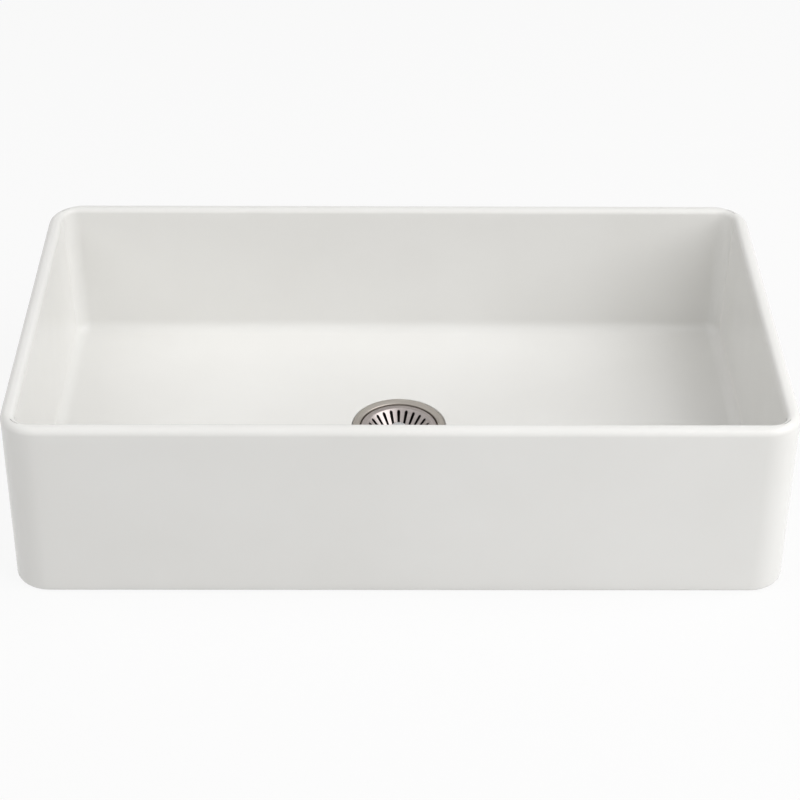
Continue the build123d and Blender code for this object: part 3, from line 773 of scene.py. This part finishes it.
def polar_streaks(tree, where, ring_scale, turn_scale):
    """Noise drawn out round the waste's axis, as brushing in a lathe leaves it."""
    split = tree.nodes.new("ShaderNodeSeparateXYZ")
    tree.links.new(where, split.inputs[0])
    shift = add(tree, "Math", operation="SUBTRACT")
    tree.links.new(split.outputs["Y"], shift.inputs[0])
    shift.inputs[1].default_value = OUTLET_Y
    plan = tree.nodes.new("ShaderNodeCombineXYZ")
    tree.links.new(split.outputs["X"], plan.inputs["X"])
    tree.links.new(shift.outputs[0], plan.inputs["Y"])
    length = add(tree, "VectorMath", operation="LENGTH")
    tree.links.new(plan.outputs[0], length.inputs[0])
    turn = add(tree, "Math", operation="ARCTAN2")
    tree.links.new(shift.outputs[0], turn.inputs[0])
    tree.links.new(split.outputs["X"], turn.inputs[1])
    around = add(tree, "Math", operation="MULTIPLY")
    tree.links.new(turn.outputs[0], around.inputs[0])
    around.inputs[1].default_value = turn_scale
    outward = add(tree, "Math", operation="MULTIPLY")
    tree.links.new(length.outputs["Value"], outward.inputs[0])
    outward.inputs[1].default_value = ring_scale
    upward = add(tree, "Math", operation="MULTIPLY")
    tree.links.new(split.outputs["Z"], upward.inputs[0])
    upward.inputs[1].default_value = ring_scale
    joined = tree.nodes.new("ShaderNodeCombineXYZ")
    tree.links.new(outward.outputs[0], joined.inputs["X"])
    tree.links.new(around.outputs[0], joined.inputs["Y"])
    tree.links.new(upward.outputs[0], joined.inputs["Z"])
    return noise_of(tree, joined.outputs[0], 1.0, 3)


def make_turned_metal(name, dark, light, rough_low, rough_high, ring_scale=2500, relief=0.000004):
    material, tree, shader = new_material(name)
    where = object_coordinates(tree)
    streaks = polar_streaks(tree, where, ring_scale, 2.0)
    tree.links.new(ramp(tree, streaks, 0.3, 0.7, dark, light), shader.inputs["Base Color"])
    shader.inputs["Metallic"].default_value = 1.0
    rough = ramp(tree, streaks, 0.3, 0.7, (rough_low,) * 3, (rough_high,) * 3)
    tree.links.new(rough, shader.inputs["Roughness"])
    bump(tree, shader, streaks, relief)
    return material


def make_soft_material(name, dark, light, scale, roughness, relief):
    material, tree, shader = new_material(name)
    where = object_coordinates(tree)
    grain = noise_of(tree, where, scale, 4)
    tree.links.new(ramp(tree, grain, 0.3, 0.7, dark, light), shader.inputs["Base Color"])
    shader.inputs["Roughness"].default_value = roughness
    bump(tree, shader, grain, relief)
    return material


glaze = make_glaze()
bisque = make_bisque()
brushed_steel = make_turned_metal(
    "brushed_steel", (0.36, 0.33, 0.30), (0.46, 0.43, 0.39), 0.28, 0.42
)
# near-black, dull steel: painted shade for the inside of the cup, much darker than the steel
# itself
cup_painted_shade_steel = make_turned_metal("cup_painted_shade_steel", (0.085, 0.08, 0.08), (0.13, 0.12, 0.12), 0.42, 0.58)
basket_steel = make_turned_metal(
    "basket_steel", (0.345, 0.31, 0.30), (0.455, 0.413, 0.40), 0.36, 0.48
)
knob_steel = make_turned_metal("knob_steel", (0.62, 0.63, 0.66), (0.72, 0.73, 0.76), 0.06, 0.12)
chrome = make_turned_metal(
    "chrome", (0.66, 0.67, 0.69), (0.72, 0.73, 0.75), 0.04, 0.09, 900, 0.000001
)
zinc = make_turned_metal(
    "cast_zinc", (0.42, 0.42, 0.43), (0.56, 0.56, 0.57), 0.35, 0.5, 600, 0.00002
)
brass = make_turned_metal("plain_brass", (0.60, 0.44, 0.20), (0.74, 0.56, 0.28), 0.2, 0.32)
rubber = make_soft_material("black_rubber", (0.018,) * 3, (0.035,) * 3, 900, 0.6, 0.00003)
fibre = make_soft_material(
    "fibre_board", (0.30, 0.20, 0.12), (0.45, 0.32, 0.20), 600, 0.85, 0.00006
)
nylon = make_soft_material(
    "white_nylon", (0.70, 0.70, 0.66), (0.78, 0.78, 0.74), 300, 0.35, 0.00001
)
foam = make_soft_material("gasket_foam", (0.10,) * 3, (0.18,) * 3, 1500, 0.9, 0.0001)

CARRIED_MATERIALS = {
    "flange_gasket": foam,
    "under_washer": rubber,
    "friction_washer": fibre,
    "outlet_cross": brass,
    "catch_ring": basket_steel,
    "tailpiece_washer": nylon,
    "basket_bush": nylon,
    "basket_post": basket_steel,
    "basket_clip": basket_steel,
    "stopper_plate": basket_steel,
    "stopper_seal": rubber,
    "stopper_washer": basket_steel,
    "stopper_nut": brass,
}

make_basin()
make_strainer_body()
make_locknut()
make_coupling_nut()
make_tailpiece()
make_basket_shell()
make_basket_knob()
for node, material in CARRIED_MATERIALS.items():
    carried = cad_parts[node]
    carried.data.materials.clear()
    carried.data.materials.append(material)


# ================================================================= stage
WORLD_STRENGTH = 0.32
# name, place, size, watts, and whether reflections show it, of each soft box
LAMPS = [
    ("key", (2.3, -0.9, 2.3), (3.3, 3.3), 94.0, True),
    ("left_fill", (-1.6, -0.6, 2.4), (2.0, 2.0), 25.0, False),
    ("front_fill", (0.0, -3.0, 0.9), (1.6, 1.6), 7.0, False),
]
LAMP_AIM = (0, 0, 0.1)
# pitch, yaw and roll in radians, place in metres, lens and sensor in mm
CAMERA_TURN = (0.593720, 0.009942, 0.007098)
CAMERA_PLACE = (-0.019807, -2.091608, 1.499674)
CAMERA_LENS = 98.474
CAMERA_SENSOR = 36
STAGE_RADIUS = 6.0
STAGE_GAP = 0.0003
# share of plain white in the floor that the camera and reflections see
STAGE_WHITE = 0.88


def make_floor():
    """Pale floor with an opening under the basin, through which the waste passes."""
    hole = rounded_ring(FOOT_WIDTH / 2, CORNER_RADIUS - FOOT_WIDTH / 2)
    points = [(x, y, -STAGE_GAP) for x, y in hole]
    angle_of = [atan2(y, x) for x, y in hole]
    points += [(STAGE_RADIUS * cos(a), STAGE_RADIUS * sin(a), -STAGE_GAP) for a in angle_of]
    count = len(hole)
    data = bpy.data.meshes.new("floor")
    faces = [(j, (j + 1) % count, count + (j + 1) % count, count + j) for j in range(count)]
    data.from_pydata(points, [], [face[::-1] for face in faces])
    data.materials.append(make_floor_material())
    floor = bpy.data.objects.new("floor", data)
    bpy.context.scene.collection.objects.link(floor)


def seen_rays(tree):
    """1 for rays from the camera, reflections and transmission, which see the plain white."""
    path = tree.nodes.new("ShaderNodeLightPath")
    total = None
    for name in ("Is Camera Ray", "Is Glossy Ray", "Is Transmission Ray"):
        if total is None:
            total = path.outputs[name]
        else:
            more = add(tree, "Math", operation="MAXIMUM")
            tree.links.new(total, more.inputs[0])
            tree.links.new(path.outputs[name], more.inputs[1])
            total = more.outputs[0]
    return total


def make_floor_material():
    material = bpy.data.materials.new("pale_floor")
    material.use_nodes = True
    tree = material.node_tree
    tree.nodes.clear()
    output = tree.nodes.new("ShaderNodeOutputMaterial")
    lit = add(tree, "BsdfDiffuse", Color=(0.75, 0.75, 0.75, 1))
    white = add(tree, "Emission", Color=(1, 1, 1, 1), Strength=1.0)
    soft = add(tree, "MixShader", Fac=STAGE_WHITE)
    tree.links.new(lit.outputs[0], soft.inputs[1])
    tree.links.new(white.outputs[0], soft.inputs[2])
    by_ray = add(tree, "MixShader")
    tree.links.new(seen_rays(tree), by_ray.inputs[0])
    tree.links.new(lit.outputs[0], by_ray.inputs[1])
    tree.links.new(soft.outputs[0], by_ray.inputs[2])
    clear = add(tree, "BsdfTransparent")
    from_below = add(tree, "MixShader")
    geometry = tree.nodes.new("ShaderNodeNewGeometry")
    tree.links.new(geometry.outputs["Backfacing"], from_below.inputs[0])
    tree.links.new(by_ray.outputs[0], from_below.inputs[1])
    tree.links.new(clear.outputs[0], from_below.inputs[2])
    tree.links.new(from_below.outputs[0], output.inputs["Surface"])
    return material


def make_world(strength):
    world = bpy.data.worlds.new("studio")
    bpy.context.scene.world = world
    world.use_nodes = True
    tree = world.node_tree
    tree.nodes.clear()
    output = tree.nodes.new("ShaderNodeOutputWorld")
    ambient = add(tree, "Background", Color=(1.0, 0.99, 0.97, 1), Strength=strength)
    white = add(tree, "Background", Color=(1, 1, 1, 1), Strength=1.0)
    by_ray = add(tree, "MixShader")
    tree.links.new(seen_rays(tree), by_ray.inputs[0])
    tree.links.new(ambient.outputs[0], by_ray.inputs[1])
    tree.links.new(white.outputs[0], by_ray.inputs[2])
    tree.links.new(by_ray.outputs[0], output.inputs["Surface"])


def make_area_light(name, place, size, power, reflected):
    lamp = bpy.data.lights.new(name, "AREA")
    lamp.shape = "RECTANGLE"
    lamp.size, lamp.size_y = size
    lamp.energy = power
    light = bpy.data.objects.new(name, lamp)
    bpy.context.scene.collection.objects.link(light)
    light.visible_glossy = reflected
    light.location = place
    light.rotation_mode = "QUATERNION"
    light.rotation_quaternion = (Vector(LAMP_AIM) - Vector(place)).to_track_quat("-Z", "Y")


def make_camera():
    """Camera as fitted to the outline of the basin; angles in radians."""
    pitch, yaw, roll = CAMERA_TURN
    forward = Vector((sin(yaw) * cos(pitch), cos(yaw) * cos(pitch), -sin(pitch)))
    level = Vector((cos(yaw), -sin(yaw), 0))
    upright = level.cross(forward)
    right = cos(roll) * level + sin(roll) * upright
    up = -sin(roll) * level + cos(roll) * upright
    data = bpy.data.cameras.new("camera")
    data.sensor_width = CAMERA_SENSOR
    data.lens = CAMERA_LENS
    data.clip_end = 50
    camera = bpy.data.objects.new("camera", data)
    bpy.context.scene.collection.objects.link(camera)
    axes = Matrix((right, up, -forward)).transposed().to_4x4()
    camera.matrix_world = Matrix.Translation(CAMERA_PLACE) @ axes
    bpy.context.scene.camera = camera


make_floor()
make_world(WORLD_STRENGTH)
for lamp in LAMPS:
    make_area_light(*lamp)
make_camera()
bpy.context.scene.view_settings.view_transform = "Standard"
